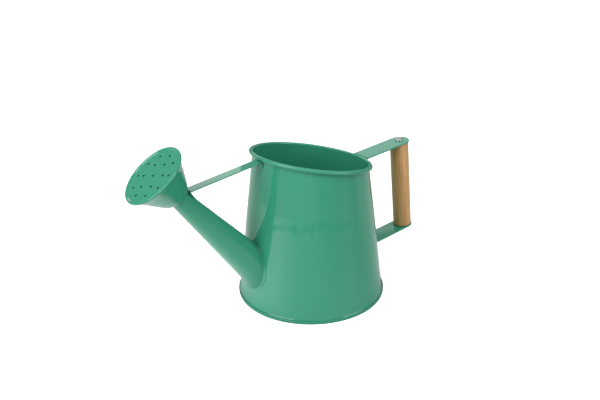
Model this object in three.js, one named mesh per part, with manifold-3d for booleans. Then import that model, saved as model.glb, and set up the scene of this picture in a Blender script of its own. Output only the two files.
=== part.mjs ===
// A small sheet-steel watering can: a conical body with a slanted, wired mouth, a straight spout
// with a brace and a perforated rose, and a handle made of two straps and a turned wooden grip.
// Millimetres, +Z up. The floor is z = 0, the spout points to -X and the handle to +X.

import * as THREE from "three";
import { mergeVertices } from "three/addons/utils/BufferGeometryUtils.js";
import Module from "manifold-3d";

const wasm = await Module();
wasm.setup();

// Sheet and clearances
const SHEET = 0.6; // thickness of the body's, spout's and rose's steel sheet
const CLEAR = 0.3; // gap between two pieces that touch
const ROUND_STEPS = 64; // facets round the body
const PIPE_STEPS = 40; // facets round the spout and the rose

// Body: a cone, wider at the floor
const BODY_X = 20.1; // the body's axis, which puts the middle of the whole can at x = 0
const WALL_BASE_R = 69; // outer radius of the wall at the floor
const WALL_TAPER = 0.126; // radius lost for each millimetre of height
const WALL_FOOT_Z = SHEET + CLEAR; // lower edge of the wall, inside the base plate's channel
const MOUTH_Z = 132.9; // height of the mouth's plane on the body's axis
const MOUTH_SLOPE = -0.18; // rise of the mouth's plane along X: the spout's side is the high one
const BEAD_R = 1.85; // outer radius of the roll round the mouth
const BEAD_CORE_R = BEAD_R - SHEET; // the hollow of the roll, which holds the wire
const BEAD_END = THREE.MathUtils.degToRad(-118); // where the roll stops, short of the wall
const WIRE_R = BEAD_CORE_R - CLEAR;
const LEAN_FROM_Z = 60; // what is above this height leans with the mouth

// Base plate: a disc set in above the floor, with its edge folded round the wall's lower edge
const DISC_Z = 2.8; // underside of the disc
const HEM_HEIGHT = 3.4;
const HEM_THICKNESS = 0.8; // the outer leg of the fold, two layers pressed flat
const HEM_ROUND = 0.3; // broken corners of the fold

// Spout: a straight cone whose axis starts where it meets the wall
const SPOUT_ROOT_Z = 42.9;
const SPOUT_LEAN = THREE.MathUtils.degToRad(39.3); // from upright towards -X
const SPOUT_ROOT_R = 16;
const SPOUT_TAPER = 0.078; // radius lost for each millimetre along the axis
const SPOUT_LENGTH = 101.5;
const FLANGE_WIDTH = 2; // how far the spout's flange spreads over the wall
const SPOUT_HOLE_R = 12.5; // hole in the wall behind the spout
const SPOUT_INSIDE = 30; // how far the uncut tube reaches into the body
const FLANGE_REACH = 32; // how far along the axis the flange's cutter reaches

// Rose: a bell on the spout's end, closed by a perforated face
const SPIGOT_LENGTH = 6; // the bell's neck inside the spout
const BELL_START = SPOUT_LENGTH + CLEAR;
const BELL_END = 130.8;
const FACE_START = 131.45; // inner side of the face plate, along the spout's axis
const ROSE_BEAD_R = 0.95; // half thickness of the rolled rim
const ROSE_RIM_R = 27; // radius of the circle that the rim's roll runs on
const HOLE_R = 0.75;
const HOLE_RINGS = [
  { count: 1, radius: 0, start: 0 },
  { count: 6, radius: 12.2, start: -9.3 },
  { count: 10, radius: 19.8, start: 2.3 },
];

// Brace between the mouth and the spout
const BRACE_WIDTH = 9.8;
const BRACE_THICKNESS = 1.1;
const BRACE_WALL_Z = 137.9; // middle of the strip where it meets the wall
const BRACE_SLOPE = 0.169; // its fall towards the spout
const BRACE_FOOT = 5.5; // length of the foot bent down on the wall
const BRACE_TAB_END = 91.8; // where the tab on the spout ends, along the spout's axis

// Handle
const STRAP_WIDTH = 20;
const STRAP_THICKNESS = 1.5;
const STRAP_FOOT = 17; // length of a strap's foot on the wall
const UPPER_STRAP = { screwX: 108.7, topZ: 127.7, slope: 0.13, bend: 6.8 };
const LOWER_STRAP = { screwX: 118.9, topZ: 35.4, slope: 0.14, bend: 3 };
const GRIP_R = 9.2;
const GRIP_GAP = 0.45; // between the grip's end and its strap
const GRIP_ROUND = 1; // broken edge of the grip's ends
const PILOT_R = 2.1;
const PILOT_DEPTH = 16;

// Pan-head wood screws
const SCREW_R = 1.75;
const SCREW_LENGTH = 14;
const SCREW_TIP = 2.5;
const SCREW_HEAD_R = 3.9;
const SCREW_HEAD_HEIGHT = 2.4;
const SCREW_HEAD_EDGE = 0.9; // upright rim of the head, below its dome
const RECESS_SPAN = 4.2;
const RECESS_WIDTH = 1;
const RECESS_DEPTH = 1.3;

const enamel = (colour) => ({ color: colour, roughness: 0.25, metalness: 0 });
const FINISHES = {
  enamel: enamel(0x46a082),
  innerEnamel: enamel(0x3c8f74),
  steel: { color: 0xb4b8b6, roughness: 0.35, metalness: 1 },
  wood: { color: 0xbf9668, roughness: 0.45, metalness: 0 },
};

const point = (x, y) => new THREE.Vector2(x, y);

const wallRadius = (z) => WALL_BASE_R - WALL_TAPER * z;

const spoutRadius = (along) => SPOUT_ROOT_R - SPOUT_TAPER * along;

// A closed geometry as a solid that can be joined and cut.
function solidOf(geometry) {
  const bare = geometry.clone();
  bare.deleteAttribute("normal");
  bare.deleteAttribute("uv");
  const merged = mergeVertices(bare, 1e-3);
  const mesh = new wasm.Mesh({
    numProp: 3,
    vertProperties: merged.attributes.position.array,
    triVerts: new Uint32Array(merged.index.array),
  });
  return new wasm.Manifold(mesh);
}

function geometryOf(solid) {
  const mesh = solid.getMesh();
  const geometry = new THREE.BufferGeometry();
  geometry.setAttribute("position", new THREE.BufferAttribute(mesh.vertProperties, 3));
  geometry.setIndex(new THREE.BufferAttribute(mesh.triVerts, 1));
  geometry.computeVertexNormals();
  return geometry;
}

function piece(name, geometry, finish) {
  const mesh = new THREE.Mesh(geometry, new THREE.MeshStandardMaterial(FINISHES[finish]));
  mesh.name = name;
  return mesh;
}

// A profile of (radius, height) points turned round the Z axis.
function turned(profile, steps) {
  return new THREE.LatheGeometry(profile, steps).rotateX(Math.PI / 2);
}

function arc(centre, radius, from, to, steps) {
  return Array.from({ length: steps + 1 }, (_, i) => {
    const angle = from + ((to - from) * i) / steps;
    return point(centre.x + radius * Math.cos(angle), centre.y + radius * Math.sin(angle));
  });
}

// A round bar or cone along Z, from one height to another.
function bar(fromZ, toZ, fromRadius, toRadius, steps) {
  const profile = [point(0, fromZ), point(fromRadius, fromZ), point(toRadius, toZ), point(0, toZ)];
  return turned(profile, steps);
}

// Spout coordinates: Z runs along the spout's axis, and X points to the upper side of the spout.
const spoutFrame = new THREE.Matrix4()
  .makeRotationY(-SPOUT_LEAN)
  .setPosition(-wallRadius(SPOUT_ROOT_Z), 0, SPOUT_ROOT_Z);

// A point of the can's middle plane, as (x, z), from its place along and above the spout's axis.
function besideSpout(along, above) {
  const place = new THREE.Vector3(above, 0, along).applyMatrix4(spoutFrame);
  return point(place.x, place.z);
}

// Leans a turned body over to the slanted mouth. Each point keeps its distance from the wall.
function leanToMouth(geometry) {
  const places = geometry.attributes.position;
  for (let i = 0; i < places.count; i++) {
    const z = places.getZ(i);
    if (z < LEAN_FROM_Z) continue;
    const radius = Math.hypot(places.getX(i), places.getY(i));
    const side = places.getX(i) / radius;
    const proud = radius - wallRadius(z);
    const rise = MOUTH_SLOPE * side;
    const height = (z + rise * (WALL_BASE_R + proud)) / (1 + rise * WALL_TAPER);
    const grown = (wallRadius(height) + proud) / radius;
    places.setXYZ(i, places.getX(i) * grown, places.getY(i) * grown, height);
  }
  return geometry;
}

const beadZ = MOUTH_Z - BEAD_R;
const beadCentre = point(wallRadius(beadZ) + BEAD_CORE_R, beadZ);

function bodyShell() {
  const wallFoot = wallRadius(WALL_FOOT_Z);
  const profile = [
    point(wallFoot, WALL_FOOT_Z),
    ...arc(beadCentre, BEAD_CORE_R, Math.PI, BEAD_END, 9),
    ...arc(beadCentre, BEAD_R, BEAD_END, Math.PI, 10),
    point(wallFoot - SHEET, WALL_FOOT_Z),
    point(wallFoot, WALL_FOOT_Z),
  ];
  const wall = solidOf(leanToMouth(turned(profile, ROUND_STEPS)));
  const drill = bar(-FLANGE_REACH, FLANGE_REACH, SPOUT_HOLE_R, SPOUT_HOLE_R, PIPE_STEPS);
  return geometryOf(wall.subtract(solidOf(drill.applyMatrix4(spoutFrame))));
}

function rimWire() {
  const section = arc(beadCentre, WIRE_R, 0, 2 * Math.PI, 8);
  return leanToMouth(turned(section, ROUND_STEPS));
}

function basePlate() {
  const channelInner = -SHEET - CLEAR; // from the wall's outer face to the fold's inner leg
  const legInner = channelInner - SHEET;
  const legOuter = CLEAR + HEM_THICKNESS;
  const at = (proud, z) => point(wallRadius(z) + proud, z);
  const profile = [
    point(0, DISC_Z),
    at(legInner - HEM_ROUND, DISC_Z),
    at(legInner, DISC_Z - HEM_ROUND),
    at(legInner, HEM_ROUND),
    at(legInner + HEM_ROUND, 0),
    at(legOuter - HEM_ROUND, 0),
    at(legOuter, HEM_ROUND),
    at(legOuter, HEM_HEIGHT - HEM_ROUND),
    at(legOuter - HEM_ROUND, HEM_HEIGHT),
    at(CLEAR, HEM_HEIGHT),
    at(CLEAR, SHEET),
    at(channelInner, SHEET),
    at(channelInner, HEM_HEIGHT),
    point(0, HEM_HEIGHT),
  ];
  return turned(profile, ROUND_STEPS);
}

// Everything within a given distance outside the wall, as one solid cone.
function insideWall(proud) {
  return solidOf(
    bar(-10, MOUTH_Z, wallRadius(-10) + proud, wallRadius(MOUTH_Z) + proud, ROUND_STEPS),
  );
}

function spoutTube() {
  const cone = (fromAlong, toAlong, proud) =>
    bar(
      fromAlong,
      toAlong,
      spoutRadius(fromAlong) + proud,
      spoutRadius(toAlong) + proud,
      PIPE_STEPS,
    ).applyMatrix4(spoutFrame);
  const flange = solidOf(cone(-FLANGE_REACH, FLANGE_REACH, FLANGE_WIDTH)).intersect(
    insideWall(CLEAR + SHEET),
  );
  const bore = solidOf(cone(-2 * SPOUT_INSIDE, SPOUT_LENGTH + 1, -SHEET));
  const tube = solidOf(cone(-SPOUT_INSIDE, SPOUT_LENGTH, 0)).add(flange);
  return geometryOf(tube.subtract(insideWall(CLEAR)).subtract(bore));
}

function roseBack() {
  const flow = new THREE.SplineCurve([
    point(spoutRadius(SPOUT_LENGTH), BELL_START),
    point(10.2, 103.6),
    point(14.4, 109),
    point(23, 125.5),
    point(26.7, BELL_END),
  ]);
  const outside = flow.getPoints(12);
  const neck = (along, proud) => point(spoutRadius(along) - SHEET - CLEAR + proud, along);
  const inside = outside
    .slice(1)
    .reverse()
    .map((p) => point(p.x - 1.3 * SHEET, p.y));
  const spigotStart = SPOUT_LENGTH - SPIGOT_LENGTH;
  const profile = [
    neck(spigotStart, -SHEET),
    neck(spigotStart, 0),
    neck(BELL_START, 0),
    ...outside,
    ...inside,
    neck(BELL_START, -SHEET),
    neck(spigotStart, -SHEET),
  ];
  return turned(profile, PIPE_STEPS);
}

function roseFace() {
  const faceEnd = FACE_START + SHEET;
  const rollFrom = -Math.PI + Math.asin(SHEET / ROSE_BEAD_R);
  const profile = [
    point(0, FACE_START),
    ...arc(point(ROSE_RIM_R, faceEnd), ROSE_BEAD_R, rollFrom, Math.PI, 8),
    point(0, faceEnd),
  ];
  let face = solidOf(turned(profile, PIPE_STEPS));
  for (const ring of HOLE_RINGS) {
    for (let i = 0; i < ring.count; i++) {
      const angle = THREE.MathUtils.degToRad(ring.start + (360 * i) / ring.count);
      const drill = bar(FACE_START - 1, faceEnd + 1, HOLE_R, HOLE_R, 10).translate(
        ring.radius * Math.cos(angle),
        ring.radius * Math.sin(angle),
        0,
      );
      face = face.subtract(solidOf(drill));
    }
  }
  return geometryOf(face);
}

// Where two lines of the middle plane cross, each given by a point and a direction.
function crossing(a, alongA, b, alongB) {
  const reach = b.clone().sub(a).cross(alongB) / alongA.cross(alongB);
  return a.clone().addScaledVector(alongA, reach);
}

// A strip of metal bent along a route in the middle plane. Each corner has its own tangent length.
function bentStrip(route, bends, thickness, width) {
  const line = [route[0]];
  bends.forEach((length, i) => {
    const corner = route[i + 1];
    const before = route[i].clone().sub(corner).setLength(length).add(corner);
    const after = route[i + 2].clone().sub(corner).setLength(length).add(corner);
    line.push(...new THREE.QuadraticBezierCurve(before, corner, after).getPoints(6));
  });
  line.push(route[route.length - 1]);
  const side = (shift) =>
    line.map((p, i) => {
      const next = line[Math.min(i + 1, line.length - 1)];
      const last = line[Math.max(i - 1, 0)];
      const along = next.clone().sub(last).normalize();
      return point(p.x - along.y * shift, p.y + along.x * shift);
    });
  const outline = new THREE.Shape([...side(thickness / 2), ...side(-thickness / 2).reverse()]);
  return new THREE.ExtrudeGeometry(outline, { depth: width, bevelEnabled: false })
    .rotateX(Math.PI / 2)
    .translate(0, width / 2, 0);
}

function brace() {
  const half = BRACE_THICKNESS / 2;
  const footX = (z) => -(wallRadius(z) + CLEAR + half);
  const head = point(footX(BRACE_WALL_Z), BRACE_WALL_Z);
  const onTube = (along) => besideSpout(along, spoutRadius(along) + CLEAR + half);
  const tabEnd = onTube(BRACE_TAB_END);
  const tubeLine = onTube(SPOUT_LENGTH).sub(tabEnd);
  const fold = crossing(head, point(1, BRACE_SLOPE), tabEnd, tubeLine);
  const footZ = BRACE_WALL_Z - BRACE_FOOT;
  const route = [point(footX(footZ), footZ), head, fold, tabEnd];
  return bentStrip(route, [2, 2.8], BRACE_THICKNESS, BRACE_WIDTH);
}

// One of the two handle straps: a foot on the wall, a bend, and an arm with a round end.
function handleStrap({ screwX, topZ, slope, bend }) {
  const half = STRAP_THICKNESS / 2;
  const end = point(screwX, topZ - half);
  const wallPoint = (z) => point(wallRadius(z) + CLEAR + half, z);
  const arm = point(1, slope);
  const bendCorner = crossing(end, arm, wallPoint(0), point(-WALL_TAPER, 1));
  const tip = end.clone().addScaledVector(arm, STRAP_WIDTH / 2);
  const route = [wallPoint(bendCorner.y - STRAP_FOOT), bendCorner, tip];
  const strip = solidOf(bentStrip(route, [bend], STRAP_THICKNESS, STRAP_WIDTH));
  const plan = new THREE.Shape()
    .moveTo(0, -STRAP_WIDTH)
    .lineTo(screwX, -STRAP_WIDTH / 2)
    .absarc(screwX, 0, STRAP_WIDTH / 2, -Math.PI / 2, Math.PI / 2)
    .lineTo(0, STRAP_WIDTH);
  const cutter = new THREE.ExtrudeGeometry(plan, {
    depth: 2 * topZ,
    bevelEnabled: false,
    curveSegments: 16,
  });
  const drill = bar(-5, 5, PILOT_R, PILOT_R, 16)
    .rotateY(-Math.atan(slope))
    .translate(end.x, 0, end.y);
  return geometryOf(strip.intersect(solidOf(cutter)).subtract(solidOf(drill)));
}

const gripFoot = point(LOWER_STRAP.screwX, LOWER_STRAP.topZ);
const gripTop = point(UPPER_STRAP.screwX, UPPER_STRAP.topZ - STRAP_THICKNESS);
const gripSpan = gripFoot.distanceTo(gripTop);
const gripLean = Math.atan2(gripTop.x - gripFoot.x, gripTop.y - gripFoot.y);

function grip() {
  const start = GRIP_GAP;
  const end = gripSpan - GRIP_GAP;
  const profile = [
    point(0, start + PILOT_DEPTH),
    point(PILOT_R, start + PILOT_DEPTH),
    point(PILOT_R, start),
    ...arc(point(GRIP_R - GRIP_ROUND, start + GRIP_ROUND), GRIP_ROUND, -Math.PI / 2, 0, 3),
    ...arc(point(GRIP_R - GRIP_ROUND, end - GRIP_ROUND), GRIP_ROUND, 0, Math.PI / 2, 3),
    point(PILOT_R, end),
    point(PILOT_R, end - PILOT_DEPTH),
    point(0, end - PILOT_DEPTH),
  ];
  return turned(profile, 32);
}

// A screw with the underside of its head at z = 0 and its shank down -Z.
function screw() {
  const dome = new THREE.QuadraticBezierCurve(
    point(SCREW_HEAD_R, SCREW_HEAD_EDGE),
    point(0.85 * SCREW_HEAD_R, SCREW_HEAD_HEIGHT),
    point(0, SCREW_HEAD_HEIGHT),
  );
  const profile = [
    point(0, -SCREW_LENGTH),
    point(SCREW_R, SCREW_TIP - SCREW_LENGTH),
    point(SCREW_R, 0),
    point(SCREW_HEAD_R, 0),
    ...dome.getPoints(5),
  ];
  let solid = solidOf(turned(profile, 20));
  for (const turn of [Math.PI / 4, -Math.PI / 4]) {
    const slot = new THREE.BoxGeometry(RECESS_SPAN, RECESS_WIDTH, 2 * RECESS_DEPTH)
      .rotateZ(turn)
      .translate(0, 0, SCREW_HEAD_HEIGHT);
    solid = solid.subtract(solidOf(slot));
  }
  return geometryOf(solid);
}

const body = new THREE.Group();
body.add(
  piece("body_shell", bodyShell(), "enamel"),
  piece("rim_wire", rimWire(), "steel"),
  piece("base_plate", basePlate(), "enamel"),
);

const spout = new THREE.Group();
spout.add(piece("spout_tube", spoutTube(), "enamel"), piece("spout_brace", brace(), "enamel"));

const rose = new THREE.Group();
rose.applyMatrix4(spoutFrame);
rose.add(
  piece("rose_back", roseBack(), "enamel"),
  piece("rose_face", roseFace(), "innerEnamel"),
);

const gripGroup = new THREE.Group();
gripGroup.position.set(gripFoot.x, 0, gripFoot.y);
gripGroup.rotation.y = gripLean;
const upperScrew = piece("upper_grip_screw", screw(), "steel");
upperScrew.position.z = gripSpan + STRAP_THICKNESS + CLEAR;
const lowerScrew = piece("lower_grip_screw", screw(), "steel");
lowerScrew.position.z = -STRAP_THICKNESS - CLEAR;
lowerScrew.rotation.x = Math.PI;
gripGroup.add(piece("wooden_grip", grip(), "wood"), upperScrew, lowerScrew);

const handle = new THREE.Group();
handle.add(
  piece("upper_handle_strap", handleStrap(UPPER_STRAP), "enamel"),
  piece("lower_handle_strap", handleStrap(LOWER_STRAP), "enamel"),
  gripGroup,
);

const wateringCan = new THREE.Group();
wateringCan.position.x = BODY_X;
wateringCan.add(body, spout, rose, handle);

export default wateringCan;
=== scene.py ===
"""The looks of a small enamelled watering can: body, spout, rose, handle, their finishes and a studio.

Metres, +Z up. The spout points to -X and the handle to +X.
"""

import logging
import math
from collections.abc import Callable, Iterable, Sequence
from dataclasses import dataclass, field
from enum import Enum

import bmesh
import bpy
from mathutils import Matrix, Vector, noise


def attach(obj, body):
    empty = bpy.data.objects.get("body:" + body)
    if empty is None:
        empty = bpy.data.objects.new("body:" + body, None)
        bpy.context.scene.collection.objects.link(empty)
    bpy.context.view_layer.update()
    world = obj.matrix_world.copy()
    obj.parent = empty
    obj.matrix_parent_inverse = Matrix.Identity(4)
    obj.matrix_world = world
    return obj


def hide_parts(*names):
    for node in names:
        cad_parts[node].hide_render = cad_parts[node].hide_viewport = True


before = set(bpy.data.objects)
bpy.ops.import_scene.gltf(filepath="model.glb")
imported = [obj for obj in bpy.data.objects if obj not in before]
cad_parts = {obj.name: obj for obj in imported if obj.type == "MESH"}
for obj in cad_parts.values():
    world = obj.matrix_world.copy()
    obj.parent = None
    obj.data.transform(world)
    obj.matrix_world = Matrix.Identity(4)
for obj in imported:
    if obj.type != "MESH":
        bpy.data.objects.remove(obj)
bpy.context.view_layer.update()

LOG = logging.getLogger("watering_can")
MM = 0.001
WELD = 0.001 * MM
FULL_TURN = 2 * math.pi
STUDIO_FRONT = math.radians(-34.13)
Colour = tuple[float, float, float, float]
Ring = list[Vector]


def grey(level: float) -> Colour:
    """An even grey of a level between 0 and 1."""
    return (level, level, level, 1.0)


def clamped(value: float) -> float:
    """A value kept between 0 and 1."""
    return min(1.0, max(0.0, value))


class Slot(Enum):
    """Names of the material slots of the record."""

    ENAMEL = "enamel"
    WIRE = "wire"
    WOOD = "grip_wood"
    SCREW = "screw_steel"


class Facing(Enum):
    """Which way a handle screw's head looks along the grip's axis."""

    UP = 1
    DOWN = -1


# ---------------------------------------------------------------- shader maths


class Signal:
    """A shader socket that takes part in Python arithmetic by adding Math nodes."""

    def __init__(self, tree: "ShaderTree", socket: bpy.types.NodeSocket) -> None:
        """Wraps one output socket of a tree."""
        self.tree = tree
        self.socket = socket

    def _math(self, operation: str, first: object, second: object) -> "Signal":
        """Adds one Math node.

        Args:
            operation: The Math node's operation.
            first: Its first value, a Signal or a number.
            second: Its second value.

        Returns:
            The node's result.
        """
        settings = {"operation": operation}
        return self.tree.signal("ShaderNodeMath", settings, {0: first, 1: second})

    def __add__(self, other: object) -> "Signal":
        """Sum."""
        return self._math("ADD", self, other)

    def __radd__(self, other: object) -> "Signal":
        """Sum with a number on the left."""
        return self._math("ADD", other, self)

    def __sub__(self, other: object) -> "Signal":
        """Difference."""
        return self._math("SUBTRACT", self, other)

    def __rsub__(self, other: object) -> "Signal":
        """Difference from a number on the left."""
        return self._math("SUBTRACT", other, self)

    def __mul__(self, other: object) -> "Signal":
        """Product."""
        return self._math("MULTIPLY", self, other)

    def __rmul__(self, other: object) -> "Signal":
        """Product with a number on the left."""
        return self._math("MULTIPLY", other, self)

    def __truediv__(self, other: object) -> "Signal":
        """Quotient."""
        return self._math("DIVIDE", self, other)

    def __rtruediv__(self, other: object) -> "Signal":
        """Quotient of a number on the left."""
        return self._math("DIVIDE", other, self)

    def __pow__(self, other: object) -> "Signal":
        """Power."""
        return self._math("POWER", self, other)

    def __rpow__(self, other: object) -> "Signal":
        """Power of a number on the left."""
        return self._math("POWER", other, self)


@dataclass(frozen=True)
class Grain:
    """A noise pattern fixed to the can: how fine it is, its details and its stretch."""

    scale: float
    detail: float = 2.0
    roughness: float = 0.5
    stretch: tuple[float, float, float] = (1, 1, 1)


class ShaderTree:
    """The emptied node tree of a material or a world, filled through one method."""

    def __init__(self, owner: bpy.types.Material | bpy.types.World) -> None:
        """Empties the owner's node tree.

        Args:
            owner: The material or world whose tree is filled.
        """
        owner.use_nodes = True
        self.owner = owner
        self.nodes = owner.node_tree.nodes
        self.links = owner.node_tree.links
        self.nodes.clear()

    @classmethod
    def material(cls, name: str) -> "ShaderTree":
        """Starts a new material."""
        return cls(bpy.data.materials.new(name))

    def node(
        self, kind: str, settings: dict[str, object], inputs: dict[str | int, object]
    ) -> bpy.types.Node:
        """Adds a node.

        Args:
            kind: The node's type.
            settings: Its own settings, and "stops" for a ramp's (position, colour) pairs.
            inputs: Values or Signals for its sockets, by name or place.

        Returns:
            The node.
        """
        made = self.nodes.new(kind)
        for key, value in settings.items():
            if key == "stops":
                self._set_stops(made.color_ramp, value)
            else:
                setattr(made, key, value)
        for key, value in inputs.items():
            if isinstance(value, Signal):
                self.links.new(value.socket, made.inputs[key])
            else:
                made.inputs[key].default_value = value
        return made

    @staticmethod
    def _set_stops(ramp: bpy.types.ColorRamp, stops: Sequence[tuple[float, Colour]]) -> None:
        """Gives a colour ramp its stops.

        Args:
            ramp: The ramp, new and with two stops.
            stops: Pairs of position and colour, in order.
        """
        while len(ramp.elements) < len(stops):
            ramp.elements.new(1.0)
        for element, (position, colour) in zip(ramp.elements, stops):
            element.position = position
            element.color = colour

    def signal(
        self,
        kind: str,
        settings: dict[str, object],
        inputs: dict[str | int, object],
        output: str | int = 0,
    ) -> Signal:
        """Adds a node and returns one of its outputs as a Signal."""
        return Signal(self, self.node(kind, settings, inputs).outputs[output])

    def object_place(
        self, stretch: Sequence[float] = (1, 1, 1), turn: Sequence[float] = (0, 0, 0)
    ) -> Signal:
        """Coordinates fixed to the can, whose patterns are stretched along turned axes.

        Args:
            stretch: How much longer a pattern gets along each axis.
            turn: Rotation of the axes in radians.

        Returns:
            The mapped coordinates.
        """
        place = self.signal("ShaderNodeTexCoord", {}, {}, "Object")
        values = {"Vector": place, "Rotation": turn, "Scale": stretch}
        return self.signal("ShaderNodeMapping", {"vector_type": "TEXTURE"}, values)

    def grain(self, pattern: Grain, turn: Sequence[float] = (0, 0, 0)) -> Signal:
        """A noise pattern's factor.

        Args:
            pattern: The pattern.
            turn: Rotation in radians of the axes that it is stretched along.

        Returns:
            The factor, from 0 to 1.
        """
        place = self.object_place(pattern.stretch, turn)
        look = {"Scale": pattern.scale, "Detail": pattern.detail, "Roughness": pattern.roughness}
        values = {"Vector": place, **look}
        return self.signal("ShaderNodeTexNoise", {"noise_dimensions": "3D"}, values, "Fac")

    def mix(self, factor: object, first: object, second: object) -> Signal:
        """Blends two colours."""
        values = {0: factor, 6: first, 7: second}
        return self.signal("ShaderNodeMix", {"data_type": "RGBA"}, values, 2)

    def ramp(self, factor: Signal, stops: Sequence[tuple[float, Colour]]) -> Signal:
        """Colours by a ramp."""
        return self.signal("ShaderNodeValToRGB", {"stops": stops}, {"Fac": factor}, "Color")

    def bump(self, height: Signal, strength: float, distance: float) -> Signal:
        """A bump whose height is a Signal."""
        values = {"Height": height, "Strength": strength, "Distance": distance}
        return self.signal("ShaderNodeBump", {}, values, "Normal")

    def surface(self, inputs: dict[str | int, object]) -> bpy.types.Material:
        """Ends the tree in a Principled shader.

        Args:
            inputs: Values or Signals for the shader's sockets.

        Returns:
            The material.
        """
        shader = self.signal("ShaderNodeBsdfPrincipled", {}, inputs, "BSDF")
        self.node("ShaderNodeOutputMaterial", {}, {"Surface": shader})
        return self.owner


# ---------------------------------------------------------------- finishes


@dataclass(frozen=True)
class StovingEnamel:
    """Glossy green enamel sprayed and baked on steel sheet."""

    name: str = "green_enamel"
    colour: Colour = (0.037, 0.318, 0.194, 1.0)
    thin: Colour = (0.049, 0.354, 0.221, 1.0)
    drift: Grain = Grain(22.0, 3.0)
    drift_share: float = 0.5
    speck: Grain = Grain(900.0)
    speck_share: float = 0.12
    roughness: float = 0.05
    drift_gloss: float = 0.05
    speck_gloss: float = 0.02
    peel: Grain = Grain(420.0, 2.0, 0.45)
    peel_height: float = 0.025
    flow: Grain = Grain(38.0, 1.5, stretch=(1, 1, 2.2))
    flow_height: float = 0.8
    streak: Grain = Grain(260.0, stretch=(1, 1, 14))
    streak_height: float = 0.05
    waviness: float = 0.10
    relief: float = 1.2 * MM
    ior: float = 1.52

    def material(self) -> bpy.types.Material:
        """Builds the node material.

        Returns:
            The material.
        """
        tree = ShaderTree.material(self.name)
        drift = tree.grain(self.drift)
        speck = tree.grain(self.speck)
        share = drift * self.drift_share + speck * self.speck_share
        roughness = self.roughness + (drift - 0.5) * self.drift_gloss
        height = tree.grain(self.peel) * self.peel_height
        height = height + tree.grain(self.flow) * self.flow_height
        height = height + tree.grain(self.streak) * self.streak_height
        return tree.surface(
            {
                "Base Color": tree.mix(share, self.colour, self.thin),
                "Roughness": roughness + (speck - 0.5) * self.speck_gloss,
                "Normal": tree.bump(height, self.waviness, self.relief),
                "IOR": self.ior,
            }
        )


@dataclass(frozen=True)
class LacqueredWood:
    """Turned hardwood under a thin clear lacquer, its grain along the grip."""

    name: str = "lacquered_wood"
    lean: float = 0.0
    tones: tuple[tuple[float, Colour], ...] = (
        (0.30, (0.325, 0.148, 0.046, 1.0)),
        (0.46, (0.600, 0.320, 0.114, 1.0)),
        (0.58, (0.715, 0.410, 0.165, 1.0)),
        (0.72, (0.790, 0.490, 0.222, 1.0)),
    )
    pore_colour: Colour = (0.26, 0.125, 0.045, 1.0)
    pore_share: float = 0.45
    pore_stops: tuple[tuple[float, Colour], ...] = ((0.56, grey(0)), (0.68, grey(1)))
    band: Grain = Grain(160.0, 3.0, 0.55, (1, 1, 22))
    band_share: float = 0.62
    streak: Grain = Grain(520.0, 4.0, 0.6, (1, 1, 22))
    streak_share: float = 0.38
    pore: Grain = Grain(1900.0, 2.0, 0.6, (1, 1, 50))
    roughness: float = 0.40
    streak_gloss: float = 0.25
    grain_height: float = 0.5
    grain_bump: float = 0.22
    relief: float = 0.4 * MM
    lacquer: float = 0.25
    lacquer_roughness: float = 0.18

    def material(self) -> bpy.types.Material:
        """Builds the node material.

        Returns:
            The material.
        """
        tree = ShaderTree.material(self.name)
        turn = (0.0, self.lean, 0.0)
        band = tree.grain(self.band, turn)
        streak = tree.grain(self.streak, turn)
        pore = tree.grain(self.pore, turn)
        tone = tree.ramp(band * self.band_share + streak * self.streak_share, self.tones)
        dark = tree.mix(tree.ramp(pore, self.pore_stops), tone, self.pore_colour)
        height = streak * self.grain_height - pore * self.grain_height
        return tree.surface(
            {
                "Base Color": tree.mix(self.pore_share, tone, dark),
                "Roughness": self.roughness + (streak - 0.5) * self.streak_gloss,
                "Normal": tree.bump(height, self.grain_bump, self.relief),
                "Coat Weight": self.lacquer,
                "Coat Roughness": self.lacquer_roughness,
            }
        )


@dataclass(frozen=True)
class PlatedSteel:
    """Bright zinc plating, finely turned or drawn."""

    name: str = "zinc_plate"
    colour: Colour = (0.74, 0.75, 0.73, 1.0)
    shade: Colour = (0.50, 0.52, 0.51, 1.0)
    roughness: float = 0.30
    cloud: Grain = Grain(480.0, 4.0)
    cloud_gloss: float = 0.2
    scratch: Grain = Grain(1500.0, 3.0, stretch=(1, 0.17, 1))
    scratch_gloss: float = 0.12
    scratch_bump: float = 0.15
    relief: float = 0.2 * MM

    def material(self) -> bpy.types.Material:
        """Builds the node material.

        Returns:
            The material.
        """
        tree = ShaderTree.material(self.name)
        cloud = tree.grain(self.cloud)
        scratch = tree.grain(self.scratch)
        roughness = self.roughness + (cloud - 0.5) * self.cloud_gloss
        return tree.surface(
            {
                "Base Color": tree.mix(cloud, self.colour, self.shade),
                "Roughness": roughness + (scratch - 0.5) * self.scratch_gloss,
                "Metallic": 1.0,
                "Normal": tree.bump(scratch, self.scratch_bump, self.relief),
            }
        )


@dataclass(frozen=True)
class PaleSweep:
    """Matt white paper that the can stands on."""

    name: str = "pale_sweep"
    colour: Colour = grey(0.93)
    shade: Colour = grey(0.90)
    grain: Grain = Grain(60.0, 3.0)
    grain_share: float = 0.1
    roughness: float = 0.9
    glow: float = 0.7

    def material(self) -> bpy.types.Material:
        """Builds the node material.

        Returns:
            The material.
        """
        tree = ShaderTree.material(self.name)
        share = tree.grain(self.grain) * self.grain_share
        colour = tree.mix(share, self.colour, self.shade)
        glow = {"Emission Color": grey(1), "Emission Strength": self.glow}
        return tree.surface({"Base Color": colour, "Roughness": self.roughness, **glow})


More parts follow.
